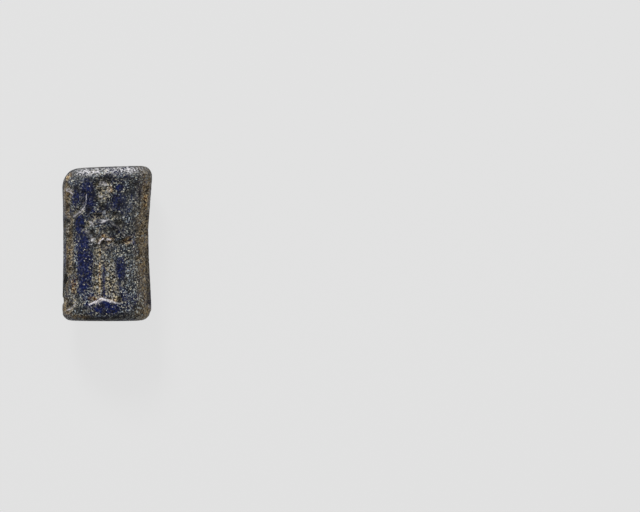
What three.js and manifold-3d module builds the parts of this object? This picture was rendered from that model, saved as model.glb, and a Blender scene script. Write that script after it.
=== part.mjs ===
// Cylinder seal: a small stone roller, drilled lengthwise for a cord and cut in intaglio all round.
// It lies on its side along Y, with the upper end of its design towards +Y and the front figure facing up.
// Lengths are in millimetres. Angles are in degrees round the stone, from its top as it lies, towards +X.
// Places on the carved surface are (s, y): s runs round the stone and y runs along it from the lower end.

import * as THREE from "three";
import { mergeVertices, toCreasedNormals } from "three/addons/utils/BufferGeometryUtils.js";
import Module from "manifold-3d";

const wasm = await Module();
wasm.setup();

// The stone
const sealLength = 23.0;
const upperDiameter = 13.5;
const lowerDiameter = 13.3;
const waistDepth = 0.35;
const waistLean = 0.16; // the waist is this much deeper on the +X side, and shallower on the other
const waistShare = 0.55; // the waist's place, as a share of the length
const upperEndTilt = 2.0; // the upper end was ground out of square, higher on the +X side
const restFlatWidth = 2.4; // the worn flat that it lies on, measured at the lower rim

// The worn rims, each a quarter ellipse that is larger on one side of the stone
const upperRim = { height: 2.2, reach: 1.95, spread: 0.27, towards: -80 };
const lowerRim = { height: 1.6, reach: 1.5, spread: 0.15, towards: 100 };

// The cord hole, drilled from both ends, a little out of line where the two drillings meet
const boreDiameter = 3.2;
const boreMiddleDiameter = 2.9;
const boreMouthDiameter = 4.6;
const boreMouthDepth = 1.1;
const boreMismatch = 0.25;
const boreMeeting = 0.8; // length over which one drilling runs into the other

// The frieze: blank bands below the feet and above the heads, and how deep it is cut
const lowerMargin = 2.5;
const upperMargin = 2.6;
const robeDepth = 0.58;
const trunkDepth = 0.46;
const limbDepth = 0.52;
const headDepth = 0.72;
const lineDepth = 0.36;
const footDepth = 0.2;
const foldOverlap = 1.25; // how far a skirt's folds run into each other: 1 sets them side by side
const cutterRise = 0.2; // how far the engraver's wheel stands out of a cut, as a share of its depth

// How finely the surfaces are divided
const columns = 48;
const sideRows = 14;
const rimRows = 4;
const boreSides = 16;
const mouthRows = 3;
const ballSides = 10;
const ballRings = 5;
const shortestEdge = 0.004; // edges shorter than this are closed up where cuts cross

const { cos, sin, tan, sqrt, max, PI } = Math;
const { clamp, degToRad, lerp } = THREE.MathUtils;
const turn = 2 * PI;
const girth = (PI * (upperDiameter + lowerDiameter)) / 2;
const figureHeight = sealLength - lowerMargin - upperMargin;

// Carving

const cutters = [];

// A solid that can be cut and joined, from a closed geometry.
function solidOf(geometry) {
  geometry.deleteAttribute("normal");
  geometry.deleteAttribute("uv");
  const { attributes, index } = mergeVertices(geometry);
  const triVerts = Uint32Array.from(index.array);
  return new wasm.Manifold(new wasm.Mesh({ numProp: 3, vertProperties: attributes.position.array, triVerts }));
}

// A ball drawn out along Y, with its own radius at each end.
function drawnBall(length, startRadius, endRadius) {
  const ball = new THREE.SphereGeometry(1, ballSides, ballRings);
  const places = ball.attributes.position;
  const place = new THREE.Vector3();
  for (let i = 0; i < places.count; i++) {
    place.fromBufferAttribute(places, i);
    const atEnd = place.y > 0;
    place.multiplyScalar(atEnd ? endRadius : startRadius);
    places.setXYZ(i, place.x, place.y + (atEnd ? length : 0), place.z);
  }
  return ball;
}

// The point that rises so far above the uncarved surface at a place.
function above(place, rise) {
  const theta = (place.x / girth) * turn;
  const distance = bodyRadius(theta, place.y) + rise;
  return new THREE.Vector3(distance * sin(theta), place.y, distance * cos(theta));
}

// A tapered groove with round ends, as deep as given where it is half as wide as at its two ends together.
function groove(from, to, startHalfWidth, endHalfWidth, depth) {
  const rise = cutterRise * depth;
  const start = above(from, rise);
  const along = above(to, rise).sub(start);
  const length = along.length();
  if (length === 0) along.set(0, 1, 0);
  along.normalize();
  const outward = start.clone().setY(0).normalize();
  outward.addScaledVector(along, -outward.dot(along)).normalize();
  const across = along.clone().cross(outward);
  outward.multiplyScalar((2 * (depth + rise)) / (startHalfWidth + endHalfWidth));
  const frame = new THREE.Matrix4().makeBasis(across, along, outward).setPosition(start);
  cutters.push(solidOf(drawnBall(length, startHalfWidth, endHalfWidth).applyMatrix4(frame)));
}

// A round hole of the drill.
function drill(centre, radius, depth) {
  groove(centre, centre, radius, radius, depth);
}

// A chain of grooves through joints such as shoulder, elbow and hand, tapering from first to last.
function limb(joints, startHalfWidth, endHalfWidth, depth = limbDepth) {
  for (let i = 1; i < joints.length; i++) {
    const widths = [i - 1, i].map((k) => lerp(startHalfWidth, endHalfWidth, k / (joints.length - 1)));
    groove(joints[i - 1], joints[i], widths[0], widths[1], depth);
  }
}

// A long skirt that flares to its hem: folds side by side, and a hem that arches up in the middle.
function skirt(waist, hem, waistHalfWidth, hemHalfWidth, folds, arch, depth) {
  const foldShare = foldOverlap / folds;
  for (let i = 0; i < folds; i++) {
    const side = ((2 * i) / (folds - 1) - 1) * (1 - foldShare);
    const top = waist.clone().add({ x: side * waistHalfWidth, y: 0 });
    const foot = hem.clone().add({ x: side * hemHalfWidth, y: arch });
    groove(top, foot, waistHalfWidth * foldShare, hemHalfWidth * foldShare, depth);
  }
  for (const side of [-1, 1]) {
    const corner = hem.clone().add({ x: side * hemHalfWidth, y: 0 });
    const middle = hem.clone().add({ x: 0, y: arch });
    groove(middle, corner, 0.8 * arch, 0.6 * arch, depth);
  }
}

// A figure's own frame: shares of the figures' height, from its middle at foot level.
function figureFrame(angle) {
  const middle = (angle / 360) * girth;
  return (x, y) => new THREE.Vector2(middle + x * figureHeight, lowerMargin + y * figureHeight);
}

const share = (value) => value * figureHeight;

function headWithCap(at, x, y, radius, slope) {
  drill(at(x, y), share(radius), headDepth);
  drill(at(x - 0.2 * radius, y - 0.8 * radius), share(0.6 * radius), limbDepth);
  const brim = y + 0.8 * radius;
  const from = at(x - 0.85 * radius, brim - slope * radius);
  const to = at(x + 0.85 * radius, brim + slope * radius);
  groove(from, to, share(0.34 * radius), share(0.34 * radius), limbDepth);
}

// The front figure, in a long robe, one arm folded at the breast and one held out to the next figure.
function robedFigure(angle) {
  const at = figureFrame(angle);
  headWithCap(at, -0.006, 0.933, 0.066, 0.15);
  groove(at(0.005, 0.85), at(0, 0.76), share(0.02), share(0.03), lineDepth);
  groove(at(-0.095, 0.715), at(0.1, 0.735), share(0.034), share(0.03), limbDepth);
  groove(at(0, 0.67), at(0, 0.56), share(0.085), share(0.07), trunkDepth);
  limb([at(-0.1, 0.715), at(-0.17, 0.62), at(-0.06, 0.505)], share(0.032), share(0.024));
  limb([at(0.1, 0.73), at(0.175, 0.61), at(0.06, 0.705), at(-0.03, 0.67)], share(0.03), share(0.022));
  limb([at(0.02, 0.49), at(0.14, 0.505), at(0.26, 0.53)], share(0.028), share(0.02));
  skirt(at(-0.004, 0.47), at(0.02, 0.03), share(0.092), share(0.114), 3, share(0.045), robeDepth);
}

// The second figure, slender, in a narrow robe, holding out a lowered arm.
function slenderFigure(angle) {
  const at = figureFrame(angle);
  headWithCap(at, -0.045, 0.93, 0.045, -0.1);
  groove(at(-0.055, 0.87), at(-0.05, 0.79), share(0.026), share(0.024), lineDepth);
  groove(at(-0.05, 0.725), at(0.055, 0.735), share(0.03), share(0.028), limbDepth);
  groove(at(0.005, 0.7), at(0.01, 0.56), share(0.05), share(0.048), trunkDepth);
  limb([at(0.0, 0.68), at(-0.06, 0.62), at(-0.11, 0.565)], share(0.026), share(0.02));
  limb([at(0.05, 0.46), at(-0.08, 0.41), at(-0.18, 0.365)], share(0.028), share(0.016), lineDepth);
  skirt(at(0.025, 0.42), at(0.038, 0.0), share(0.056), share(0.066), 2, share(0.028), robeDepth);
}

// A figure in a short kilt with legs apart. Its pose gives the joints of its limbs.
function stridingFigure(angle, pose) {
  const at = figureFrame(angle);
  const joints = (places) => places.map(([x, y]) => at(x, y));
  headWithCap(at, pose.head[0], pose.head[1], 0.05, pose.capSlope);
  limb(joints(pose.neck), share(0.026), share(0.03));
  limb(joints(pose.shoulders), share(0.036), share(0.034));
  for (const arm of pose.arms) limb(joints(arm), share(0.03), share(0.022));
  const [chest, hips] = joints(pose.trunk);
  groove(chest, hips, share(pose.chestHalfWidth), share(0.052), trunkDepth);
  for (const leg of pose.legs) limb(joints(leg), share(0.04), share(0.026));
  for (const foot of pose.feet) limb(joints(foot), share(0.024), share(0.03), footDepth);
}

const raisedArmPose = {
  head: [-0.01, 0.915],
  capSlope: -0.5,
  neck: [[-0.045, 0.87], [-0.045, 0.74]],
  shoulders: [[-0.16, 0.655], [-0.02, 0.69], [0.05, 0.735]],
  arms: [[[0.05, 0.735], [0.143, 0.778], [0.163, 0.91]]],
  trunk: [[-0.035, 0.66], [-0.005, 0.32]],
  chestHalfWidth: 0.064,
  legs: [
    [[-0.017, 0.29], [-0.1, 0.2], [-0.174, 0.06]],
    [[0.017, 0.29], [0.056, 0.2], [0.054, 0.04]],
  ],
  feet: [
    [[-0.04, 0.022], [-0.18, 0.02], [-0.34, 0.03]],
    [[0.09, 0.017], [-0.033, -0.05]],
  ],
};

const maceBearerPose = {
  head: [0.033, 0.92],
  capSlope: 0.2,
  neck: [[0.033, 0.87], [0.008, 0.72]],
  shoulders: [[-0.158, 0.665], [0.008, 0.69], [0.158, 0.68]],
  arms: [
    [[-0.158, 0.665], [-0.274, 0.63], [-0.19, 0.74], [-0.13, 0.87]],
    [[0.156, 0.684], [0.11, 0.6], [0.02, 0.58]],
  ],
  trunk: [[-0.01, 0.65], [0.03, 0.33]],
  chestHalfWidth: 0.082,
  legs: [
    [[0.03, 0.29], [-0.075, 0.17], [-0.091, 0.0]],
    [[0.075, 0.29], [0.116, 0.17], [0.096, 0.05]],
  ],
  feet: [
    [[-0.075, -0.01], [-0.166, -0.015]],
    [[0.166, 0.012], [0.083, -0.05]],
    [[0.11, 0.025], [0.033, -0.035]],
  ],
};

// The mace that the last figure raises: a shaft that swells to its head.
function mace(angle) {
  const at = figureFrame(angle);
  groove(at(-0.05, 0.9), at(-0.18, 0.887), share(0.015), share(0.022), lineDepth);
  groove(at(-0.2, 0.885), at(-0.275, 0.875), share(0.032), share(0.038), limbDepth);
}

// A knotted cord in the field, cut as a row of drillings that grow along it.
function knottedCord(firstAngle, lastAngle, firstHeight, lastHeight, knots) {
  for (let i = 0; i < knots; i++) {
    const along = i / (knots - 1);
    const at = figureFrame(lerp(firstAngle, lastAngle, along));
    const middle = lerp(firstHeight, lastHeight, along);
    const radius = lerp(0.026, 0.042, along);
    groove(at(-radius, middle + 0.3 * radius), at(radius, middle), share(radius), share(radius), limbDepth);
  }
}

// A small animal that crouches at the edge of the field.
function crouchingAnimal(angle) {
  const at = figureFrame(angle);
  groove(at(0.055, 0.115), at(-0.06, 0.13), share(0.045), share(0.034), limbDepth);
  groove(at(-0.01, 0.26), at(-0.085, 0.215), share(0.026), share(0.022), lineDepth);
  groove(at(0.02, 0.2), at(0.03, 0.14), share(0.024), share(0.03), lineDepth);
  limb([at(0.06, 0.11), at(0.1, 0.19)], share(0.024), share(0.018), lineDepth);
}

robedFigure(-4);
slenderFigure(70);
stridingFigure(140, maceBearerPose);
mace(140);
stridingFigure(-56, raisedArmPose);
knottedCord(-104, -182, 0.705, 0.85, 6);
crouchingAnimal(-118);

// The stone's outer surface

// Depth of the waist at an angle round the stone and a height along it.
function waistAt(theta, y) {
  const reach = y < waistShare * sealLength ? waistShare * sealLength : (1 - waistShare) * sealLength;
  const away = clamp((y - waistShare * sealLength) / reach, -1, 1);
  return (waistDepth + waistLean * sin(theta)) * cos((away * PI) / 2) ** 2;
}

// Distance of the uncarved surface from the axis.
function bodyRadius(theta, y) {
  return lerp(lowerDiameter, upperDiameter, clamp(y / sealLength, 0, 1)) / 2 - waistAt(theta, y);
}

// The upper end is a plane through the highest point of its rim, on the +X side.
function upperEndHeight(x) {
  return sealLength - (upperDiameter / 2 - x) * tan(degToRad(upperEndTilt));
}

// A rim's size at one angle round the stone.
function rimAt(rim, theta) {
  const growth = 1 + rim.spread * cos(theta - degToRad(rim.towards));
  return { height: rim.height * growth, reach: rim.reach * growth };
}

// The stone's outline at one angle, from the lower end to the upper one, as [distance, y] pairs.
function outlineAt(theta) {
  const lower = rimAt(lowerRim, theta);
  const upper = rimAt(upperRim, theta);
  const lowerShoulder = bodyRadius(theta, lower.height);
  const upperShoulder = bodyRadius(theta, sealLength - upper.height);
  const sideTop = upperEndHeight(upperShoulder * sin(theta)) - upper.height;
  const outline = [];
  for (let i = 0; i < rimRows; i++) {
    const bend = ((i / rimRows) * PI) / 2;
    outline.push([lowerShoulder - lower.reach * (1 - sin(bend)), lower.height * (1 - cos(bend))]);
  }
  for (let i = 0; i <= sideRows; i++) {
    const y = lerp(lower.height, sideTop, i / sideRows);
    outline.push([bodyRadius(theta, y), y]);
  }
  for (let i = rimRows - 1; i >= 0; i--) {
    const bend = ((i / rimRows) * PI) / 2;
    const distance = upperShoulder - upper.reach * (1 - sin(bend));
    outline.push([distance, upperEndHeight(distance * sin(theta)) - upper.height * (1 - cos(bend))]);
  }
  return outline;
}

// The stone before it is carved and drilled: rings of points, closed by a fan at each end.
function blankGeometry() {
  const positions = [0, 0, 0, 0, upperEndHeight(0), 0];
  const [lowerMiddle, upperMiddle, firstPoint] = [0, 1, 2];
  const faces = [];
  for (let j = 0; j < columns; j++) {
    const theta = (j / columns) * turn;
    const outline = outlineAt(theta);
    const last = outline.length - 1;
    for (const [distance, y] of outline) positions.push(distance * sin(theta), y, distance * cos(theta));
    const here = (row) => firstPoint + j * outline.length + row;
    const beside = (row) => firstPoint + ((j + 1) % columns) * outline.length + row;
    for (let row = 0; row < last; row++) {
      faces.push(here(row), beside(row), beside(row + 1), here(row), beside(row + 1), here(row + 1));
    }
    faces.push(lowerMiddle, beside(0), here(0), upperMiddle, here(last), beside(last));
  }
  const geometry = new THREE.BufferGeometry();
  geometry.setAttribute("position", new THREE.Float32BufferAttribute(positions, 3));
  geometry.setIndex(faces);
  return geometry;
}

// One drilling of the cord hole: it starts at the given end, flares at the mouth and runs past the middle.
function drilling(endHeight, inward, shift) {
  const mouth = (boreMouthDiameter - boreDiameter) / 2;
  const profile = [new THREE.Vector2(0, -boreMouthDepth), new THREE.Vector2(boreMouthDiameter / 2, -boreMouthDepth)];
  for (let i = 0; i <= mouthRows; i++) {
    const down = i / mouthRows;
    profile.push(new THREE.Vector2(boreDiameter / 2 + mouth * (1 - down) ** 2, boreMouthDepth * down));
  }
  const depth = sealLength / 2 + boreMeeting;
  profile.push(new THREE.Vector2(boreMiddleDiameter / 2, depth), new THREE.Vector2(0, depth));
  const geometry = new THREE.LatheGeometry(profile, boreSides);
  if (inward < 0) geometry.rotateX(PI);
  return solidOf(geometry.translate(shift, endHeight, 0));
}

// What is ground away underneath, so that the stone lies still.
function restFlatCutter() {
  const distance = sqrt((lowerDiameter / 2) ** 2 - (restFlatWidth / 2) ** 2);
  const slab = new THREE.BoxGeometry(2 * upperDiameter, 2 * sealLength, upperDiameter);
  return solidOf(slab.translate(0, sealLength / 2, -distance - upperDiameter / 2));
}

function sealGeometry() {
  const cutAway = [
    ...cutters,
    drilling(0, 1, -boreMismatch / 2),
    drilling(upperEndHeight(0), -1, boreMismatch / 2),
    restFlatCutter(),
  ].reduce((joined, next) => joined.add(next));
  const carved = solidOf(blankGeometry()).subtract(cutAway).simplify(shortestEdge);
  const { vertProperties, triVerts } = carved.getMesh();
  const geometry = new THREE.BufferGeometry();
  geometry.setAttribute("position", new THREE.BufferAttribute(vertProperties, 3));
  geometry.setIndex(new THREE.BufferAttribute(triVerts, 1));
  return geometry;
}

// The stone rests on the ground plane, centred over the origin.
function layDown(geometry) {
  geometry.computeBoundingBox();
  const { min: low, max: high } = geometry.boundingBox;
  geometry.translate(-(low.x + high.x) / 2, -(low.y + high.y) / 2, -low.z);
  return toCreasedNormals(geometry, PI / 6);
}

const lapis = new THREE.MeshStandardMaterial({ color: 0x2b3350, roughness: 0.5, metalness: 0 });
const seal = new THREE.Mesh(layDown(sealGeometry()), lapis);
seal.name = "cylinder_seal";

const group = new THREE.Group();
group.add(seal);

export default group;
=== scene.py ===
"""Cylinder seal of worn lapis lazuli, lying on its side and seen from above.

Lengths are in millimetres until the mesh is made, which is in metres. A place on the carved surface is
(s, y): s runs round the stone from its top as it lies, towards +X, and y runs along it from the lower end.
"""

import math

import bpy
import numpy as np
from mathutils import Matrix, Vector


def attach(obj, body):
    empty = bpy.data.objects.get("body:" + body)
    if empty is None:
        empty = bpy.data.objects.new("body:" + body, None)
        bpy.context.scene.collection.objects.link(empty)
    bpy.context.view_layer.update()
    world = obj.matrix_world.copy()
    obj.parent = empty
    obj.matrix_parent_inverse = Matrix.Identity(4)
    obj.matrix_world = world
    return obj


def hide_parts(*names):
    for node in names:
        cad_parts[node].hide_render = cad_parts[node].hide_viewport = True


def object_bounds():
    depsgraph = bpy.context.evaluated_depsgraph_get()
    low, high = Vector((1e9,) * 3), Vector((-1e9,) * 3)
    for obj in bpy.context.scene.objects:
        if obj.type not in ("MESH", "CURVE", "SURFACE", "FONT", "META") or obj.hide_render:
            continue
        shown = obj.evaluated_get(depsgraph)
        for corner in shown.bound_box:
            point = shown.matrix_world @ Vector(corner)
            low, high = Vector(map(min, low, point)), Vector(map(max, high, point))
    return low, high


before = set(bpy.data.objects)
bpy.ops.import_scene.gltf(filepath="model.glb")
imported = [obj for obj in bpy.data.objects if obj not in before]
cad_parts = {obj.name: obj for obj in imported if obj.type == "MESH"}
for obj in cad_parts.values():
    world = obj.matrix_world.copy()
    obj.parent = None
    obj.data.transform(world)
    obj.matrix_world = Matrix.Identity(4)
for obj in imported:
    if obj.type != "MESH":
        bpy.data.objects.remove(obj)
cad_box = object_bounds()

METRE = 0.001

# The stone, as in the solid
SEAL_LENGTH = 23.0
UPPER_DIAMETER = 13.5
LOWER_DIAMETER = 13.3
WAIST_DEPTH = 0.35
WAIST_LEAN = 0.16
WAIST_SHARE = 0.55
UPPER_END_TILT = 2.0
REST_FLAT_WIDTH = 2.4
UPPER_RIM = {"height": 2.2, "reach": 1.95, "spread": 0.27, "towards": -80}
LOWER_RIM = {"height": 1.6, "reach": 1.5, "spread": 0.15, "towards": 100}
BORE_DIAMETER = 3.2
BORE_MIDDLE_DIAMETER = 2.9
BORE_MOUTH_DIAMETER = 4.6
BORE_MOUTH_DEPTH = 1.1
BORE_MISMATCH = 0.25

# The frieze, as in the solid
LOWER_MARGIN = 2.5
UPPER_MARGIN = 2.6
ROBE_DEPTH = 0.58
TRUNK_DEPTH = 0.46
LIMB_DEPTH = 0.52
HEAD_DEPTH = 0.72
LINE_DEPTH = 0.36
FOOT_DEPTH = 0.2
FOLD_OVERLAP = 1.25
CUTTER_RISE = 0.2

GIRTH = math.pi * (UPPER_DIAMETER + LOWER_DIAMETER) / 2
FIGURE_HEIGHT = SEAL_LENGTH - LOWER_MARGIN - UPPER_MARGIN
FLAT_DISTANCE = math.sqrt((LOWER_DIAMETER / 2) ** 2 - (REST_FLAT_WIDTH / 2) ** 2)

# How far hand-cut edges stray from their strokes
EDGE_WOBBLE = 0.2

# The fine relief's depths: all over, in the pits, in the slow swell of the surface, and of the bump that is
# only shaded
SKIN_DEPTH = 0.03
PIT_DEPTH = 0.12
SWELL_DEPTH = 0.1
BUMP_DEPTH = 0.22

# How far round the stone the finish follows the photograph, and from where it is wholly made up
NEAR_SIDE_END = 7.5
FAR_SIDE_START = 11

# How finely the mesh is divided
COLUMNS = 380
RIM_ROWS = 16
SIDE_ROWS = 196
END_ROWS = 6
MOUTH_ROWS = 5
BORE_ROWS = 8

# The photograph's framing: the picture's size in pixels, and the seal's box in it, counted from 0 at the
# middle of the first pixel
PICTURE_WIDTH = 640
PICTURE_HEIGHT = 512
SEAL_LEFT = 61.2
SEAL_RIGHT = 152.2
SEAL_TOP = 165.6
SEAL_BOTTOM = 319.9
LENS = 200
SENSOR = 36
CLIP_START = 0.01

# Light: the floor glows by itself to match the photograph's even background
FLOOR_HALF_SIZE = 3.0
FLOOR_GREY = 0.06
FLOOR_GLOW = 0.705
SURROUNDINGS_STRENGTH = 0.42
KEY_PLACE = (-0.12, 0.42, 0.4)
KEY_SIZE = 0.14
KEY_POWER = 2.6


# Camera

def add_camera():
    """A long lens straight above the seal, shifted so that the seal lies where the photograph has it."""
    length = cad_box[1][1] - cad_box[0][1]
    metres_per_pixel = length / (SEAL_BOTTOM - SEAL_TOP)
    distance = metres_per_pixel * PICTURE_WIDTH * LENS / SENSOR
    data = bpy.data.cameras.new("camera")
    data.lens = LENS
    data.sensor_width = SENSOR
    data.clip_start = CLIP_START
    camera = bpy.data.objects.new("camera", data)
    across = (PICTURE_WIDTH - 1) / 2 - (SEAL_LEFT + SEAL_RIGHT) / 2
    down = (PICTURE_HEIGHT - 1) / 2 - (SEAL_TOP + SEAL_BOTTOM) / 2
    data.shift_x = across / PICTURE_WIDTH
    data.shift_y = -down / PICTURE_WIDTH
    widest_height = FLAT_DISTANCE * METRE
    camera.location = (0, 0, distance + widest_height)
    bpy.context.collection.objects.link(camera)
    bpy.context.scene.camera = camera


# Carving strokes

strokes = []
incisions = []


def groove(start, end, start_half_width, end_half_width, depth):
    strokes.append((start, end, start_half_width, end_half_width, depth))


def drill(centre, radius, depth):
    groove(centre, centre, radius, radius, depth)


def incise(*places, half_width=0.13, depth=0.13):
    """A fine line through places, finer than the solid's carving."""
    for start, end in zip(places, places[1:]):
        incisions.append((start, end, half_width, half_width, depth))


def limb(joints, start_half_width, end_half_width, depth=LIMB_DEPTH):
    """A chain of grooves that taper from the first joint to the last."""
    count = len(joints) - 1
    widths = [start_half_width + (end_half_width - start_half_width) * i / count for i in range(count + 1)]
    for i in range(count):
        groove(joints[i], joints[i + 1], widths[i], widths[i + 1], depth)


def figure_frame(angle):
    """Places in shares of the figures' height, from a figure's middle at foot level."""
    middle = angle / 360 * GIRTH
    return lambda x, y: (middle + x * FIGURE_HEIGHT, LOWER_MARGIN + y * FIGURE_HEIGHT)


def share(value):
    return value * FIGURE_HEIGHT


def skirt(waist, hem, waist_half_width, hem_half_width, folds, arch, depth):
    """Folds side by side, and a hem that arches up in the middle."""
    fold_share = FOLD_OVERLAP / folds
    for i in range(folds):
        side = (2 * i / (folds - 1) - 1) * (1 - fold_share)
        top = (waist[0] + side * waist_half_width, waist[1])
        foot = (hem[0] + side * hem_half_width, hem[1] + arch)
        groove(top, foot, waist_half_width * fold_share, hem_half_width * fold_share, depth)
    for side in (-1, 1):
        corner = (hem[0] + side * hem_half_width, hem[1])
        groove((hem[0], hem[1] + arch), corner, 0.8 * arch, 0.6 * arch, depth)


def head_with_cap(at, x, y, radius, slope):
    drill(at(x, y), share(radius), HEAD_DEPTH)
    drill(at(x - 0.2 * radius, y - 0.8 * radius), share(0.6 * radius), LIMB_DEPTH)
    brim = y + 0.8 * radius
    start = at(x - 0.85 * radius, brim - slope * radius)
    end = at(x + 0.85 * radius, brim + slope * radius)
    groove(start, end, share(0.34 * radius), share(0.34 * radius), LIMB_DEPTH)


def robed_figure(angle):
    at = figure_frame(angle)
    head_with_cap(at, -0.006, 0.933, 0.066, 0.15)
    groove(at(0.005, 0.85), at(0, 0.76), share(0.02), share(0.03), LINE_DEPTH)
    groove(at(-0.095, 0.715), at(0.1, 0.735), share(0.034), share(0.03), LIMB_DEPTH)
    groove(at(0, 0.67), at(0, 0.56), share(0.085), share(0.07), TRUNK_DEPTH)
    limb([at(-0.1, 0.715), at(-0.17, 0.62), at(-0.06, 0.505)], share(0.032), share(0.024))
    limb([at(0.1, 0.73), at(0.175, 0.61), at(0.06, 0.705), at(-0.03, 0.67)], share(0.03), share(0.022))
    limb([at(0.02, 0.49), at(0.14, 0.505), at(0.26, 0.53)], share(0.028), share(0.02))
    skirt(at(-0.004, 0.47), at(0.02, 0.03), share(0.092), share(0.114), 3, share(0.045), ROBE_DEPTH)
    drill(at(-0.01, 0.505), share(0.02), HEAD_DEPTH)
    incise(at(-0.09, 0.478), at(0, 0.465), at(0.088, 0.48))
    incise(at(-0.092, 0.45), at(0, 0.437), at(0.09, 0.452))
    incise(at(-0.064, 0.43), at(-0.066, 0.09))
    incise(at(-0.03, 0.43), at(-0.016, 0.1))
    incise(at(0.03, 0.43), at(0.05, 0.1))
    incise(at(0.06, 0.43), at(0.1, 0.09))
    incise(at(-0.105, 0.075), at(0.02, 0.118), at(0.14, 0.075))
    incise(at(-0.064, 0.953), at(-0.004, 0.96), at(0.046, 0.97))
    incise(at(-0.044, 0.908), at(-0.059, 0.923), depth=0.2)
    incise(at(-0.035, 0.66), at(-0.075, 0.645), depth=0.2)


def slender_figure(angle):
    at = figure_frame(angle)
    head_with_cap(at, -0.045, 0.93, 0.045, -0.1)
    groove(at(-0.055, 0.87), at(-0.05, 0.79), share(0.026), share(0.024), LINE_DEPTH)
    groove(at(-0.05, 0.725), at(0.055, 0.735), share(0.03), share(0.028), LIMB_DEPTH)
    groove(at(0.005, 0.7), at(0.01, 0.56), share(0.05), share(0.048), TRUNK_DEPTH)
    limb([at(0.0, 0.68), at(-0.06, 0.62), at(-0.11, 0.565)], share(0.026), share(0.02))
    limb([at(0.05, 0.46), at(-0.08, 0.41), at(-0.18, 0.365)], share(0.028), share(0.016), LINE_DEPTH)
    skirt(at(0.025, 0.42), at(0.038, 0.0), share(0.056), share(0.066), 2, share(0.028), ROBE_DEPTH)
    incise(at(-0.035, 0.44), at(0.08, 0.455))
    incise(at(0.0, 0.42), at(0.006, 0.05))
    incise(at(0.05, 0.42), at(0.07, 0.05))


BELT_HALF_WIDTH = 0.06
BELT_SAG = 0.01


def striding_figure(angle, pose):
    """A figure in a belted kilt, with its limbs and head where the pose has them."""
    at = figure_frame(angle)

    def joints(places):
        return [at(x, y) for x, y in places]

    head_with_cap(at, *pose["head"], 0.05, pose["cap_slope"])
    limb(joints(pose["neck"]), share(0.026), share(0.03))
    limb(joints(pose["shoulders"]), share(0.036), share(0.034))
    for arm in pose["arms"]:
        limb(joints(arm), share(0.03), share(0.022))
    chest, hips = joints(pose["trunk"])
    groove(chest, hips, share(pose["chest_half_width"]), share(0.052), TRUNK_DEPTH)
    for leg in pose["legs"]:
        limb(joints(leg), share(0.04), share(0.026))
    for foot in pose["feet"]:
        limb(joints(foot), share(0.024), share(0.03), FOOT_DEPTH)
    hip_x, hip_y = pose["trunk"][1]
    for drop in (0.0, 0.03):
        left = at(hip_x - BELT_HALF_WIDTH, hip_y - drop)
        middle = at(hip_x, hip_y - BELT_SAG - drop)
        right = at(hip_x + BELT_HALF_WIDTH, hip_y - drop)
        incise(left, middle, right)
    for lean in (-0.05, 0.0, 0.05):
        incise(at(hip_x + 0.5 * lean, hip_y - 0.03), at(hip_x + lean, hip_y - 0.11))


RAISED_ARM_POSE = {
    "head": (-0.01, 0.915),
    "cap_slope": -0.5,
    "neck": [(-0.045, 0.87), (-0.045, 0.74)],
    "shoulders": [(-0.16, 0.655), (-0.02, 0.69), (0.05, 0.735)],
    "arms": [[(0.05, 0.735), (0.143, 0.778), (0.163, 0.91)]],
    "trunk": [(-0.035, 0.66), (-0.005, 0.32)],
    "chest_half_width": 0.064,
    "legs": [
        [(-0.017, 0.29), (-0.1, 0.2), (-0.174, 0.06)],
        [(0.017, 0.29), (0.056, 0.2), (0.054, 0.04)],
    ],
    "feet": [
        [(-0.04, 0.022), (-0.18, 0.02), (-0.34, 0.03)],
        [(0.09, 0.017), (-0.033, -0.05)],
    ],
}

MACE_BEARER_POSE = {
    "head": (0.033, 0.92),
    "cap_slope": 0.2,
    "neck": [(0.033, 0.87), (0.008, 0.72)],
    "shoulders": [(-0.158, 0.665), (0.008, 0.69), (0.158, 0.68)],
    "arms": [
        [(-0.158, 0.665), (-0.274, 0.63), (-0.19, 0.74), (-0.13, 0.87)],
        [(0.156, 0.684), (0.11, 0.6), (0.02, 0.58)],
    ],
    "trunk": [(-0.01, 0.65), (0.03, 0.33)],
    "chest_half_width": 0.082,
    "legs": [
        [(0.03, 0.29), (-0.075, 0.17), (-0.091, 0.0)],
        [(0.075, 0.29), (0.116, 0.17), (0.096, 0.05)],
    ],
    "feet": [
        [(-0.075, -0.01), (-0.166, -0.015)],
        [(0.166, 0.012), (0.083, -0.05)],
        [(0.11, 0.025), (0.033, -0.035)],
    ],
}


def mace(angle):
    at = figure_frame(angle)
    groove(at(-0.05, 0.9), at(-0.18, 0.887), share(0.015), share(0.022), LINE_DEPTH)
    groove(at(-0.2, 0.885), at(-0.275, 0.875), share(0.032), share(0.038), LIMB_DEPTH)


FIRST_KNOT = 0.026
LAST_KNOT = 0.042


def knotted_cord(first_angle, last_angle, first_height, last_height, knots):
    """Knots in a row, each a short slanting groove, from the smallest to the largest."""
    for i in range(knots):
        along = i / (knots - 1)
        at = figure_frame(first_angle + (last_angle - first_angle) * along)
        middle = first_height + (last_height - first_height) * along
        radius = FIRST_KNOT + (LAST_KNOT - FIRST_KNOT) * along
        left = at(-radius, middle + 0.3 * radius)
        right = at(radius, middle)
        groove(left, right, share(radius), share(radius), LIMB_DEPTH)


def crouching_animal(angle):
    at = figure_frame(angle)
    groove(at(0.055, 0.115), at(-0.06, 0.13), share(0.045), share(0.034), LIMB_DEPTH)
    groove(at(-0.01, 0.26), at(-0.085, 0.215), share(0.026), share(0.022), LINE_DEPTH)
    groove(at(0.02, 0.2), at(0.03, 0.14), share(0.024), share(0.03), LINE_DEPTH)
    limb([at(0.06, 0.11), at(0.1, 0.19)], share(0.024), share(0.018), LINE_DEPTH)


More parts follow.
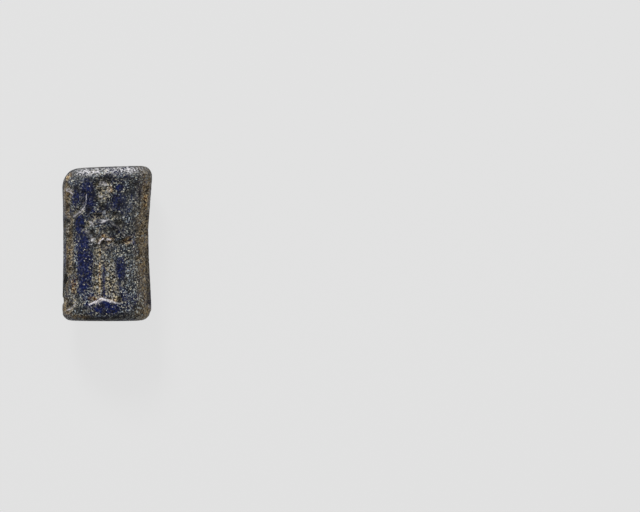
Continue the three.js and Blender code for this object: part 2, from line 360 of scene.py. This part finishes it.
def cut_frieze():
    robed_figure(-4)
    slender_figure(70)
    striding_figure(140, MACE_BEARER_POSE)
    mace(140)
    striding_figure(-56, RAISED_ARM_POSE)
    knotted_cord(-104, -182, 0.705, 0.85, 6)
    crouching_animal(-118)


def scratch_and_chip():
    """Scratches from handling, all over, and chips along the rims."""
    random = np.random.default_rng(SCRATCH_SEED)
    reach = np.array(SCRATCH_REACH)
    for _ in range(SCRATCHES):
        place = random.uniform((0, SCRATCH_MARGIN), (GIRTH, SEAL_LENGTH - SCRATCH_MARGIN))
        run = random.uniform(-reach, reach)
        depth = random.uniform(SCRATCH_SHALLOWEST, SCRATCH_DEEPEST)
        incise(place, place + run, half_width=SCRATCH_HALF_WIDTH, depth=depth)
    for place_s, place_y, radius, depth in CHIPS:
        incise((place_s, place_y), (place_s + 0.5 * radius, place_y), half_width=radius, depth=depth)


# Wear: the scratches, whose reach is the most that they run round and along, and the chips, each
# (s, y, half width, depth)

SCRATCHES = 46
SCRATCH_SEED = 7
SCRATCH_MARGIN = 1.5
SCRATCH_REACH = (1.6, 2.4)
SCRATCH_HALF_WIDTH = 0.12
SCRATCH_SHALLOWEST = 0.03
SCRATCH_DEEPEST = 0.07
CHIPS = [
    (-7.4, 21.3, 0.7, 0.16),
    (5.6, 21.9, 0.5, 0.14),
    (7.9, 20.9, 0.6, 0.2),
    (12.5, 21.6, 0.9, 0.3),
    (-14.8, 21.8, 0.7, 0.24),
    (18.9, 21.2, 0.6, 0.25),
    (-6.9, 2.2, 0.5, 0.22),
    (-3.6, 0.7, 0.5, 0.12),
    (4.4, 0.6, 0.7, 0.14),
    (10.8, 1.1, 0.7, 0.2),
    (-12.1, 0.9, 0.9, 0.3),
    (16.2, 0.8, 0.6, 0.25),
]

# Where the finish changes, as soft oval patches: (s, y, half width, half height). Clean ones are bare navy,
# greyed ones hazy, and flecked ones crowded with flecks. Thinned ones have less dust in the cuts, robe ones
# more, and highlight ones a stronger painted highlight on the cut walls that face the light.

CLEAN_PATCHES = [
    (-3.8, 8.8, 1.25, 5.2),
    (-2.9, 7.4, 0.7, 2.2),
    (0.0, 1.9, 2.2, 1.0),
    (-3.0, 18.4, 1.4, 2.6),
    (-5.3, 18.2, 0.9, 1.5),
    (1.9, 17.7, 1.3, 1.4),
    (1.9, 19.6, 0.6, 0.6),
    (2.2, 7.8, 0.9, 1.9),
    (-4.6, 14.3, 0.9, 1.6),
    (-0.5, 5.8, 0.26, 3.2),
]
GREYED_PATCHES = [
    (3.9, 16.6, 2.2, 3.6),
    (4.4, 6.4, 1.9, 4.4),
    (1.4, 10.0, 1.6, 1.1),
    (-6.5, 20.5, 3.0, 1.0),
    (-3.8, 3.9, 0.6, 0.5),
]
FLECKED_PATCHES = [
    (4.4, 6.4, 1.9, 4.4),
    (2.6, 9.6, 1.4, 1.2),
    (-4.6, 11.0, 0.8, 0.9),
    (-3.1, 12.6, 0.9, 1.5),
]
THINNED_PATCHES = [
    (0.6, 14.0, 3.0, 2.2),
    (-2.8, 13.0, 0.9, 1.2),
    (3.0, 12.2, 2.2, 1.0),
    (0.9, 9.9, 1.2, 1.3),
    (6.0, 10.6, 1.4, 1.6),
    (-0.4, 17.0, 1.0, 0.7),
]
ROBE_PATCHES = [(-1.5, 6.4, 0.9, 4.6), (0.8, 5.4, 0.9, 3.4), (-0.3, 19.1, 1.4, 1.5)]
PAINTED_HIGHLIGHT_PATCHES = [(-0.1, 3.0, 3.0, 1.0), (-6.6, 2.6, 1.6, 1.2), (-5.2, 15.9, 1.8, 0.6)]
# Partly dark stone and partly painted shade: the strips where the sides turn away, the bands along both
# ends, and dark spots in drilled pits and cuts
DARK_STONE_AND_SHADE_PATCHES = [
    (10.7, 11.5, 0.6, 14.0),
    (-10.5, 11.5, 0.7, 14.0),
    (-0.62, 11.5, 0.4, 0.34),
    (-0.5, 11.3, 0.7, 0.2),
    (-6.8, 2.4, 0.9, 0.5),
    (-6.6, 2.4, 0.6, 0.4),
    (-2.9, 16.4, 0.5, 0.9),
    (-2.0, 18.9, 0.4, 1.6),
    (-0.5, 16.9, 1.1, 0.5),
    (2.2, 17.2, 0.8, 0.6),
    (0.2, 21.0, 2.6, 0.5),
    (-5.6, 15.2, 0.6, 0.5),
    (0.7, 14.4, 0.9, 0.22),
    (1.5, 15.8, 0.9, 0.3),
    (-1.4, 15.6, 0.5, 0.25),
    (-0.6, 13.4, 0.8, 0.3),
    (2.4, 13.0, 0.5, 0.5),
    (-0.3, 19.5, 0.2, 0.16),
    (-5.2, 19.6, 0.9, 0.5),
    (4.6, 20.3, 1.2, 0.4),
    (3.9, 11.2, 0.6, 0.25),
    (1.4, 13.3, 0.9, 0.4),
    (-2.3, 13.3, 0.4, 0.4),
    (5.6, 18.5, 0.25, 2.4),
    (-6.0, 9.6, 0.25, 4.0),
    (0.0, 0.3, 7.0, 0.5),
    (1.9, 3.2, 0.4, 0.7),
    (0.9, 13.7, 1.8, 1.0),
    (-1.2, 19.3, 0.22, 0.3),
    (0.7, 18.8, 0.3, 0.3),
    (2.0, 14.6, 0.8, 0.5),
    (-1.6, 17.9, 0.5, 0.5),
    (0.9, 18.3, 0.4, 0.5),
    (-3.0, 12.9, 0.7, 0.7),
    (-7.0, 13.6, 0.6, 1.0),
    (-8.6, 14.8, 0.8, 0.5),
    (-7.6, 11.4, 0.7, 0.5),
    (-6.4, 7.8, 0.3, 1.4),
    (-8.9, 6.0, 0.7, 2.4),
    (-8.0, 17.0, 0.6, 0.7),
    (-7.7, 8.6, 0.4, 1.4),
    (-8.1, 20.3, 0.8, 0.4),
    (-7.2, 5.9, 0.3, 0.8),
    (-7.8, 12.6, 0.4, 0.4),
    (-5.0, 22.66, 3.4, 0.2),
    (0.5, 22.78, 3.4, 0.2),
    (6.0, 22.9, 3.4, 0.2),
]
EARTH_PATCHES = [
    (7.6, 11.5, 2.3, 12.5),
    (-7.4, 11.0, 0.7, 7.0),
    (-8.0, 18.2, 1.1, 2.8),
    (-8.0, 2.0, 2.0, 1.4),
    (8.0, 1.2, 3.0, 1.0),
    (-5.0, 0.5, 2.0, 0.4),
]
OCHRE_PATCHES = [
    (-1.15, 11.8, 0.45, 0.4),
    (0.4, 11.95, 0.7, 0.4),
    (-0.5, 12.5, 0.5, 0.3),
    (3.6, 11.9, 0.8, 0.5),
    (-6.0, 5.3, 0.35, 1.2),
    (0.5, 19.4, 0.4, 0.5),
    (7.3, 18.2, 0.6, 1.8),
    (-1.7, 3.35, 1.0, 0.28),
    (1.1, 3.15, 0.8, 0.26),
    (-1.25, 7.0, 0.16, 3.6),
    (-8.0, 21.4, 0.9, 0.5),
]
# Chalky white on the stone, which on the upper end's rim and beside some cut edges is partly a painted
# highlight
CHALK_AND_HIGHLIGHT_PATCHES = [
    (-3.4, 22.1, 3.2, 0.7),
    (2.6, 22.4, 4.2, 0.7),
    (-0.5, 19.9, 0.45, 0.2),
    (-1.0, 18.4, 0.32, 0.2),
    (0.4, 19.3, 0.2, 0.3),
    (-0.3, 14.85, 0.75, 0.16),
    (-2.6, 14.1, 0.4, 0.2),
    (-2.4, 11.9, 0.14, 0.7),
    (-3.3, 13.2, 0.3, 0.14),
    (-6.9, 19.4, 0.6, 0.2),
    (12.0, 22.7, 2.6, 0.4),
    (-14.0, 22.7, 3.0, 0.4),
]

# Painted highlights: pale lines along cut edges where the light catches them, each a half width, a strength
# and the places that it passes through

PAINTED_HIGHLIGHT_LINES = [
    (0.13, 1.0, [(-2.7, 2.4), (-1.8, 3.0), (-0.9, 3.4), (0.3, 2.95), (1.85, 2.6)]),
    (0.16, 1.0, [(-3.3, 18.6), (-3.45, 17.5), (-3.8, 16.7), (-4.9, 16.1)]),
    (0.12, 0.7, [(-4.9, 16.1), (-6.4, 15.4)]),
    (0.1, 0.75, [(-7.8, 1.5), (-6.6, 1.9), (-5.4, 2.6)]),
    (0.12, 0.85, [(-0.95, 14.5), (0.35, 15.0)]),
    (0.13, 0.75, [(-3.0, 14.6), (-2.3, 14.3), (-1.9, 14.0)]),
    (0.12, 0.35, [(-3.6, 13.3), (-2.9, 12.6), (-2.4, 12.1)]),
    (0.16, 0.9, [(-1.35, 11.5), (-1.0, 11.95), (-0.7, 12.15)]),
    (0.16, 0.9, [(0.0, 12.0), (0.5, 11.85)]),
    (0.11, 0.9, [(-8.2, 19.5), (-7.4, 19.2), (-6.7, 18.7), (-6.3, 18.1)]),
    (0.12, 0.7, [(-8.4, 6.1), (-7.2, 6.9)]),
    (0.14, 0.9, [(-1.2, 20.2), (-0.6, 20.4), (0.0, 20.2)]),
    (0.12, 0.45, [(0.6, 14.5), (1.9, 13.9), (2.8, 12.6)]),
]

# Fields over the surface

def around(distance):
    """Distance round the stone by the shorter way."""
    return distance - GIRTH * np.round(distance / GIRTH)


def stroke_depth(stroke, s, y):
    start, end, start_half_width, end_half_width, depth = stroke
    run_s = around(end[0] - start[0])
    run_y = end[1] - start[1]
    offset_s = around(s - start[0])
    offset_y = y - start[1]
    length_squared = max(run_s**2 + run_y**2, 1e-9)
    along = np.clip((offset_s * run_s + offset_y * run_y) / length_squared, 0, 1)
    half_width = start_half_width + (end_half_width - start_half_width) * along
    distance = np.hypot(offset_s - along * run_s, offset_y - along * run_y)
    rise = CUTTER_RISE * depth
    reach = (depth + rise) * 2 * half_width / (start_half_width + end_half_width)
    return reach * np.sqrt(np.clip(1 - (distance / half_width) ** 2, 0, 1)) - rise


def noise(seed, cell, s, y):
    """Smooth noise from 0 to 1, whose cells are about so long, closed round the stone."""
    across = max(2, round(GIRTH / cell))
    along = round(SEAL_LENGTH / cell) + 8
    lattice = np.random.default_rng(seed).random((along, across))
    u = (s / GIRTH * across) % across
    v = np.clip(y / cell + 3, 0, along - 2)
    column = np.floor(u).astype(int)
    row = np.floor(v).astype(int)
    fu = u - column
    fv = v - row
    fu = fu * fu * (3 - 2 * fu)
    fv = fv * fv * (3 - 2 * fv)
    right = (column + 1) % across
    column = column % across
    lower = lattice[row, column] * (1 - fu) + lattice[row, right] * fu
    upper = lattice[row + 1, column] * (1 - fu) + lattice[row + 1, right] * fu
    return lower * (1 - fv) + upper * fv


def layered(seed, cell, s, y, layers=3):
    """Noise with finer noise laid on it, from 0 to 1."""
    total = sum(noise(seed + i, cell / 2**i, s, y) / 2**i for i in range(layers))
    return total / sum(1 / 2**i for i in range(layers))


def step(low, high, value):
    """A smooth rise from 0 at low to 1 at high, or a fall where low is above high."""
    t = np.clip((value - low) / (high - low), 0, 1)
    return t * t * (3 - 2 * t)


def blurred(field, rounds):
    """Evens out a field over its neighbours, closed round the stone."""
    for _ in range(rounds):
        sides = np.roll(field, 1, axis=1) + np.roll(field, -1, axis=1)
        padded = np.pad(field, ((1, 1), (0, 0)), mode="edge")
        field = (2 * field + sides / 2 + (padded[:-2] + padded[2:]) / 2) / 4
    return field


# The stone's form

def waist_at(theta, y):
    middle = WAIST_SHARE * SEAL_LENGTH
    reach = np.where(y < middle, middle, SEAL_LENGTH - middle)
    away = np.clip((y - middle) / reach, -1, 1)
    return (WAIST_DEPTH + WAIST_LEAN * np.sin(theta)) * np.cos(away * math.pi / 2) ** 2


def body_radius(theta, y):
    share_along = np.clip(y / SEAL_LENGTH, 0, 1)
    return (LOWER_DIAMETER + (UPPER_DIAMETER - LOWER_DIAMETER) * share_along) / 2 - waist_at(theta, y)


def upper_end_height(x):
    return SEAL_LENGTH - (UPPER_DIAMETER / 2 - x) * math.tan(math.radians(UPPER_END_TILT))


def rim_at(rim, theta):
    growth = 1 + rim["spread"] * np.cos(theta - math.radians(rim["towards"]))
    return rim["height"] * growth, rim["reach"] * growth


def bore_profile(end_row_count):
    """Radii and depths down one mouth of the hole, from its edge."""
    mouth = (BORE_MOUTH_DIAMETER - BORE_DIAMETER) / 2
    down = np.arange(1, end_row_count + 1) / end_row_count
    return BORE_DIAMETER / 2 + mouth * (1 - down) ** 2, BORE_MOUTH_DEPTH * down


def stone_rows(theta):
    """The closed outline at every angle: lists of distances, heights and sideways shifts, row by row."""
    sin = np.sin(theta)
    lower_height, lower_reach = rim_at(LOWER_RIM, theta)
    upper_height, upper_reach = rim_at(UPPER_RIM, theta)
    lower_shoulder = body_radius(theta, lower_height)
    upper_shoulder = body_radius(theta, SEAL_LENGTH - upper_height)
    side_top = upper_end_height(upper_shoulder * sin) - upper_height
    lower_edge = lower_shoulder - lower_reach
    upper_edge = upper_shoulder - upper_reach
    mouth_radius = BORE_MOUTH_DIAMETER / 2
    shift = BORE_MISMATCH / 2
    still = np.zeros_like(theta)
    rows = []
    for i in range(END_ROWS):
        part = i / END_ROWS
        rows.append((mouth_radius + (lower_edge - mouth_radius) * part, still, still - shift * (1 - part)))
    outer_start = len(rows)
    for i in range(RIM_ROWS):
        bend = i / RIM_ROWS * math.pi / 2
        distance = lower_shoulder - lower_reach * (1 - math.sin(bend))
        rows.append((distance, lower_height * (1 - math.cos(bend)), still))
    for i in range(SIDE_ROWS + 1):
        y = lower_height + (side_top - lower_height) * i / SIDE_ROWS
        rows.append((body_radius(theta, y), y, still))
    for i in range(RIM_ROWS - 1, -1, -1):
        bend = i / RIM_ROWS * math.pi / 2
        distance = upper_shoulder - upper_reach * (1 - math.sin(bend))
        height = upper_end_height(distance * sin) - upper_height * (1 - math.cos(bend))
        rows.append((distance, height, still))
    outer_end = len(rows)
    for i in range(1, END_ROWS + 1):
        part = i / END_ROWS
        distance = upper_edge + (mouth_radius - upper_edge) * part
        rows.append((distance, upper_end_height(distance * sin + shift * part), still + shift * part))
    radii, depths = bore_profile(MOUTH_ROWS)
    for radius, depth in zip(radii, depths):
        rows.append((still + radius, upper_end_height(radius * sin + shift) - depth, still + shift))
    for i in range(1, BORE_ROWS):
        part = i / BORE_ROWS
        narrowing = 1 - abs(2 * part - 1)
        radius = (BORE_DIAMETER - (BORE_DIAMETER - BORE_MIDDLE_DIAMETER) * narrowing) / 2
        height = (upper_end_height(radius * sin) - BORE_MOUTH_DEPTH) * (1 - part) + BORE_MOUTH_DEPTH * part
        rows.append((still + radius, height, still + shift * math.cos(part * math.pi)))
    for radius, depth in zip(radii[::-1], depths[::-1]):
        rows.append((still + radius, still + depth, still - shift))
    distance, y, sideways = (np.array([row[k] for row in rows]) for k in range(3))
    return distance, y, sideways, outer_start, outer_end


def points_of(distance, y, sideways, theta):
    return np.stack([sideways + distance * np.sin(theta), y, distance * np.cos(theta)], axis=-1)


def normals_of(points):
    """Outward normals of the closed grid of points."""
    along = np.roll(points, -1, axis=0) - np.roll(points, 1, axis=0)
    round_it = np.roll(points, -1, axis=1) - np.roll(points, 1, axis=1)
    normals = np.cross(round_it, along)
    return normals / np.maximum(np.linalg.norm(normals, axis=-1, keepdims=True), 1e-12)


def patch_mask(patches, s, y):
    """How far a place lies in any of the soft oval patches, each (s, y, half width, half height)."""
    mask = np.zeros_like(s)
    for middle_s, middle_y, half_s, half_y in patches:
        away = (around(s - middle_s) / half_s) ** 2 + ((y - middle_y) / half_y) ** 2
        mask = np.maximum(mask, np.exp(-away**1.5))
    return mask


def relief_fields(s, y):
    """The carving, the fine relief and the masks that the material reads, on the outer surface.

    Each noise has an arbitrary seed, and a cell size in millimetres.
    """
    warp_s = s + EDGE_WOBBLE * (layered(11, 0.9, s, y) - 0.5)
    warp_y = y + EDGE_WOBBLE * (layered(21, 0.9, s, y) - 0.5)
    carving = np.zeros_like(s)
    for stroke in strokes:
        carving = np.maximum(carving, stroke_depth(stroke, warp_s, warp_y))
    carving = blurred(carving, 2)
    lines = np.zeros_like(s)
    for incision in incisions:
        lines = np.maximum(lines, stroke_depth(incision, warp_s, warp_y))
    inside = step(0.02, 0.2, carving)
    slope_y, slope_s = np.gradient(carving, SEAL_LENGTH / SIDE_ROWS, GIRTH / COLUMNS)
    wall = step(0.7, 1.6, np.hypot(slope_y, slope_s))

    near_side = step(FAR_SIDE_START, NEAR_SIDE_END, np.abs(around(s)))
    far_side = 1 - near_side
    kept_clean = step(0.12, 0.72, patch_mask(CLEAN_PATCHES, warp_s, warp_y))
    clean = np.maximum(kept_clean, step(0.6, 0.72, layered(101, 3.6, s, y)) * far_side)
    rim = step(1.5, 0.6, y) + step(21.0, 22.3, y)
    pitting = step(0.35, 0.65, layered(41, 3.2, s, y)) * (1 - 0.9 * clean)
    grit = step(0.6, 0.8, noise(51, 0.3, s, y)) * pitting
    grit = np.maximum(grit, step(0.66, 0.8, noise(55, 0.42, s, y)) * (1 - clean) * 0.8)
    grain = (layered(61, 0.36, s, y) - 0.5) * (0.05 + 0.1 * inside + 0.1 * rim)
    swell = (layered(71, 4.5, s, y) - 0.5) * SWELL_DEPTH
    fine = SKIN_DEPTH + PIT_DEPTH * grit + grain + swell + lines

    ledge = blurred(carving, 14) - carving
    thinned = patch_mask(THINNED_PATCHES, s, y)
    robe = patch_mask(ROBE_PATCHES, s, y)
    dust = inside * (1 - 0.6 * wall) * (0.55 + 0.2 * robe + 0.9 * (layered(81, 0.7, s, y) - 0.42))
    dust *= 1 - 0.9 * thinned
    dust = np.maximum(dust, 0.75 * inside * far_side)
    dust *= 1 - 0.75 * clean
    # Painted highlight: the cut walls that face the light, and the listed lines along cut edges, are made
    # paler
    lit_wall = step(0.5, 1.1, slope_y) * inside
    painted_highlight = lit_wall * (0.04 + 0.5 * patch_mask(PAINTED_HIGHLIGHT_PATCHES, s, y))
    for half_width, strength, places in PAINTED_HIGHLIGHT_LINES:
        for start, end in zip(places, places[1:]):
            edge = stroke_depth((start, end, half_width, half_width, 1.0), warp_s, warp_y)
            painted_highlight = np.maximum(painted_highlight, strength * step(0.0, 0.6, edge))
    return carving, fine, {
        "dust": np.clip(dust, 0, 1),
        "wear": step(0.03, 0.16, ledge),
        "painted_highlight": painted_highlight,
        "grit": grit,
        "clean": clean,
        "greyed": patch_mask(GREYED_PATCHES, s, y),
        "flecked": patch_mask(FLECKED_PATCHES, s, y),
        "earth": patch_mask(EARTH_PATCHES, s, y),
        "ochre": patch_mask(OCHRE_PATCHES, s, y),
        "chalk_and_highlight": patch_mask(CHALK_AND_HIGHLIGHT_PATCHES, s, y),
        "dark_stone_and_shade": patch_mask(DARK_STONE_AND_SHADE_PATCHES, s, y),
        "near_side": near_side,
    }


def make_seal():
    theta = (np.arange(COLUMNS) / COLUMNS * 2 * math.pi)[None, :]
    distance, y, sideways, start, end = stone_rows(theta[0])
    s = np.broadcast_to(theta / (2 * math.pi) * GIRTH, distance.shape)
    carving, fine, masks = relief_fields(s[start:end], y[start:end])
    fade = np.ones(end - start)[:, None]
    fade[0] = 0
    fade[-1] = 0
    distance[start:end] -= carving * fade
    points = points_of(distance, y, sideways, theta)
    base = points.copy()
    points[start:end] -= normals_of(base)[start:end] * np.maximum(fine * fade, 0)[..., None]
    points[..., 2] = np.maximum(points[..., 2], -FLAT_DISTANCE)

    rows, columns = distance.shape
    index = np.arange(rows * columns).reshape(rows, columns)
    beside = np.roll(index, -1, axis=1)
    above = np.roll(index, -1, axis=0)
    above_beside = np.roll(above, -1, axis=1)
    faces = np.stack([index, beside, above_beside, above], axis=-1).reshape(-1, 4)
    flat_points = points.reshape(-1, 3).copy()
    low = flat_points.min(axis=0)
    high = flat_points.max(axis=0)
    flat_points -= [(low[0] + high[0]) / 2, (low[1] + high[1]) / 2, -FLAT_DISTANCE]
    flat_points *= METRE

    mesh = bpy.data.meshes.new("carved_seal")
    mesh.from_pydata(flat_points.tolist(), [], faces.tolist())
    for name, mask in masks.items():
        whole = np.zeros((rows, columns))
        whole[start:end] = mask
        attribute = mesh.attributes.new(name, "FLOAT", "POINT")
        attribute.data.foreach_set("value", whole.reshape(-1).astype(np.float32))
    mesh.polygons.foreach_set("use_smooth", np.ones(len(faces), dtype=bool))
    mesh.update()
    seal = bpy.data.objects.new("carved_seal", mesh)
    bpy.context.collection.objects.link(seal)
    return seal


# Stage

def add_floor():
    half = FLOOR_HALF_SIZE
    mesh = bpy.data.meshes.new("floor")
    corners = [(-half, -half, 0), (half, -half, 0), (half, half, 0), (-half, half, 0)]
    mesh.from_pydata(corners, [], [(0, 1, 2, 3)])
    floor = bpy.data.objects.new("floor", mesh)
    bpy.context.collection.objects.link(floor)
    material = bpy.data.materials.new("pale_floor")
    material.use_nodes = True
    shader = material.node_tree.nodes["Principled BSDF"]
    shader.inputs["Base Color"].default_value = (FLOOR_GREY, FLOOR_GREY, FLOOR_GREY, 1)
    shader.inputs["Emission Color"].default_value = (1, 1, 1, 1)
    shader.inputs["Emission Strength"].default_value = FLOOR_GLOW
    shader.inputs["Roughness"].default_value = 1.0
    shader.inputs["Specular IOR Level"].default_value = 0.0
    mesh.materials.append(material)


def add_area_light(name, location, size, power):
    """A soft square light that looks at the seal."""
    data = bpy.data.lights.new(name, "AREA")
    data.size = size
    data.energy = power
    light = bpy.data.objects.new(name, data)
    light.location = location
    direction = -light.location
    light.rotation_euler = direction.to_track_quat("-Z", "Y").to_euler()
    bpy.context.collection.objects.link(light)


def add_lights():
    world = bpy.data.worlds.new("soft_surroundings")
    world.use_nodes = True
    world.node_tree.nodes["Background"].inputs["Color"].default_value = (1, 1, 1, 1)
    world.node_tree.nodes["Background"].inputs["Strength"].default_value = SURROUNDINGS_STRENGTH
    bpy.context.scene.world = world
    add_area_light("key", KEY_PLACE, KEY_SIZE, KEY_POWER)
    bpy.context.scene.view_settings.view_transform = "Standard"


# Material

class Nodes:
    """Short ways to add nodes to a material's tree."""

    def __init__(self, material):
        material.use_nodes = True
        self.tree = material.node_tree
        self.shader = self.tree.nodes["Principled BSDF"]
        self.place = self.tree.nodes.new("ShaderNodeTexCoord").outputs["Object"]

    def link(self, source, socket):
        if hasattr(source, "links"):
            self.tree.links.new(source, socket)
        else:
            socket.default_value = source

    def noise(self, per_mm, detail=3.0, roughness=0.55, distortion=0.0):
        node = self.tree.nodes.new("ShaderNodeTexNoise")
        self.tree.links.new(self.place, node.inputs["Vector"])
        node.inputs["Scale"].default_value = per_mm / METRE
        node.inputs["Detail"].default_value = detail
        node.inputs["Roughness"].default_value = roughness
        node.inputs["Distortion"].default_value = distortion
        return node.outputs["Fac"]

    def spots(self, per_mm):
        node = self.tree.nodes.new("ShaderNodeTexVoronoi")
        self.tree.links.new(self.place, node.inputs["Vector"])
        node.inputs["Scale"].default_value = per_mm / METRE
        return node.outputs["Distance"]

    def attribute(self, name):
        node = self.tree.nodes.new("ShaderNodeAttribute")
        node.attribute_name = name
        return node.outputs["Fac"]

    def ramp(self, value, low, high, to_low=0.0, to_high=1.0):
        node = self.tree.nodes.new("ShaderNodeMapRange")
        node.interpolation_type = "SMOOTHSTEP"
        self.link(value, node.inputs["Value"])
        node.inputs["From Min"].default_value = low
        node.inputs["From Max"].default_value = high
        node.inputs["To Min"].default_value = to_low
        node.inputs["To Max"].default_value = to_high
        return node.outputs["Result"]

    def math(self, operation, first, second):
        node = self.tree.nodes.new("ShaderNodeMath")
        node.operation = operation
        node.use_clamp = True
        self.link(first, node.inputs[0])
        self.link(second, node.inputs[1])
        return node.outputs["Value"]

    def times(self, first, second):
        return self.math("MULTIPLY", first, second)

    def plus(self, first, second):
        return self.math("ADD", first, second)

    def larger(self, first, second):
        return self.math("MAXIMUM", first, second)

    def mix(self, factor, first, second):
        node = self.tree.nodes.new("ShaderNodeMix")
        node.data_type = "RGBA"
        self.link(factor, node.inputs["Factor"])
        self.link(first, node.inputs["A"])
        self.link(second, node.inputs["B"])
        return node.outputs["Result"]


def srgb(red, green, blue):
    """A colour from its values of 0 to 255 on a screen."""
    def linear(value):
        value /= 255
        return value / 12.92 if value <= 0.04045 else ((value + 0.055) / 1.055) ** 2.4
    return (linear(red), linear(green), linear(blue), 1.0)


# Colours of the stone and of what lies on it, and of the painted highlight and painted shade

DEEP_NAVY = srgb(5, 11, 40)
BRIGHT_NAVY = srgb(4, 24, 82)
DARK_CLOUD = srgb(12, 16, 26)
HAZE = srgb(68, 74, 84)
COOL_FLECK = srgb(198, 210, 218)
WARM_FLECK = srgb(240, 234, 212)
PIT_GREY = srgb(112, 112, 108)
WORN_BLUE = srgb(104, 106, 122)
DARK_SOIL = srgb(38, 33, 28)
COOL_DUST = srgb(206, 206, 204)
WARM_DUST = srgb(228, 214, 180)
FAR_SIDE_DUST = srgb(138, 128, 108)
DARK_EARTH = srgb(98, 80, 54)
PALE_EARTH = srgb(184, 160, 118)
DARK_OCHRE = srgb(96, 56, 32)
PALE_OCHRE = srgb(246, 216, 160)
# Chalky white, partly a painted highlight on the upper rim and along cut edges
CHALK_AND_HIGHLIGHT_WHITE = srgb(238, 236, 240)
# Colour of the painted highlight on cut walls and edges
HIGHLIGHT_WHITE = srgb(236, 232, 238)
HOLE = srgb(10, 9, 12)
# Colour of the painted shade and of the darkest stone
SHADE = srgb(18, 16, 18)

STONE_SPECULAR = 0.12


def lapis_material():
    material = bpy.data.materials.new("worn_lapis")
    n = Nodes(material)
    dust = n.attribute("dust")
    wear = n.attribute("wear")
    painted_highlight = n.attribute("painted_highlight")
    grit = n.attribute("grit")
    clean = n.attribute("clean")
    greyed = n.attribute("greyed")
    earth = n.attribute("earth")
    ochre = n.attribute("ochre")
    chalk_and_highlight = n.attribute("chalk_and_highlight")
    flecked = n.attribute("flecked")
    dark_stone_and_shade = n.attribute("dark_stone_and_shade")
    near_side = n.attribute("near_side")
    soiled = n.math("SUBTRACT", 1.0, clean)
    coarse = n.ramp(near_side, 0, 1, 0.4, 1.0)

    clouds = n.ramp(n.noise(0.32, detail=6, roughness=0.6, distortion=0.4), 0.46, 0.6)
    navy = n.mix(n.ramp(n.noise(1.8, detail=4, roughness=0.65), 0.4, 0.6), DEEP_NAVY, BRIGHT_NAVY)
    colour = n.mix(n.larger(clouds, clean), DARK_CLOUD, navy)
    haze = n.times(n.ramp(n.noise(0.45, detail=8, roughness=0.7), 0.46, 0.72), soiled)
    haze = n.larger(n.times(haze, 0.5), n.times(greyed, 0.42))
    colour = n.mix(haze, colour, HAZE)
    tint = n.ramp(n.noise(2.2, detail=2), 0.42, 0.58)
    flecks = n.ramp(n.noise(3.9, detail=3, roughness=0.7), 0.53, 0.6)
    crowding = n.ramp(n.noise(0.8, detail=3), 0.36, 0.62, 0.12, 0.95)
    crowding = n.times(soiled, n.plus(crowding, n.times(flecked, 0.6)))
    flecks = n.times(flecks, n.plus(crowding, 0.11))
    dots = n.times(n.ramp(n.spots(2.4), 0.12, 0.24, 1.0, 0.0), n.ramp(n.noise(1.1, detail=2), 0.44, 0.56))
    flecks = n.times(n.larger(flecks, n.times(dots, 0.8)), coarse)
    colour = n.mix(flecks, colour, n.mix(tint, COOL_FLECK, WARM_FLECK))
    colour = n.mix(n.times(grit, 0.35), colour, PIT_GREY)
    colour = n.mix(n.times(wear, n.ramp(near_side, 0, 1, 0.55, 0.12)), colour, WORN_BLUE)

    speckle = n.ramp(n.noise(3.7, detail=2, roughness=0.7), 0.48, 0.56)
    soil = n.mix(speckle, DARK_SOIL, n.mix(tint, COOL_DUST, WARM_DUST))
    soil = n.mix(coarse, FAR_SIDE_DUST, soil)
    colour = n.mix(dust, colour, soil)
    bands = n.times(earth, n.ramp(n.noise(1.4, detail=6, roughness=0.7), 0.34, 0.55))
    bands = n.times(bands, n.ramp(dust, 0.2, 0.9, 1.0, 0.45))
    colour = n.mix(n.times(bands, 0.9), colour, n.mix(speckle, DARK_EARTH, PALE_EARTH))
    rust = n.times(ochre, n.ramp(n.noise(2.4, detail=4), 0.4, 0.54))
    colour = n.mix(n.times(rust, 0.9), colour, n.mix(speckle, DARK_OCHRE, PALE_OCHRE))
    # Chalky white, partly a painted highlight on the upper rim and along cut edges
    chalk_and_glint = n.times(chalk_and_highlight, n.ramp(n.noise(3.2, detail=3, roughness=0.75), 0.47, 0.54))
    colour = n.mix(n.times(chalk_and_glint, 0.95), colour, CHALK_AND_HIGHLIGHT_WHITE)
    # Painted highlight on the cut walls and edges that face the light
    edge = n.times(painted_highlight, n.ramp(n.noise(3.0, detail=3), 0.36, 0.48))
    colour = n.mix(n.times(edge, 0.95), colour, HIGHLIGHT_WHITE)
    holes = n.ramp(n.noise(4.1, detail=3, roughness=0.7, distortion=0.4), 0.4, 0.46)
    holes = n.larger(n.ramp(holes, 0, 1, 0.15, 1.0), n.ramp(near_side, 0, 1, 0.55, 0.0))
    colour = n.mix(holes, HOLE, colour)
    # Painted shade along the turned-away sides, along the ends and in pits, and dark stone elsewhere
    shade = n.times(dark_stone_and_shade, n.ramp(n.noise(0.9, detail=4), 0.3, 0.55, 0.35, 0.8))
    colour = n.mix(shade, colour, SHADE)
    n.tree.links.new(colour, n.shader.inputs["Base Color"])

    polish = n.ramp(n.noise(1.2, detail=6), 0.35, 0.7, 0.3, 0.55)
    n.tree.links.new(n.plus(polish, n.times(dust, 0.35)), n.shader.inputs["Roughness"])
    n.shader.inputs["Specular IOR Level"].default_value = STONE_SPECULAR
    bump = n.tree.nodes.new("ShaderNodeBump")
    bump.inputs["Strength"].default_value = 1.0
    bump.inputs["Distance"].default_value = BUMP_DEPTH * METRE
    n.tree.links.new(n.noise(4.2, detail=4, roughness=0.7), bump.inputs["Height"])
    n.tree.links.new(bump.outputs["Normal"], n.shader.inputs["Normal"])
    return material


add_camera()
cut_frieze()
scratch_and_chip()
seal = make_seal()
seal.data.materials.append(lapis_material())
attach(seal, "root")
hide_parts("cylinder_seal")
add_floor()
add_lights()
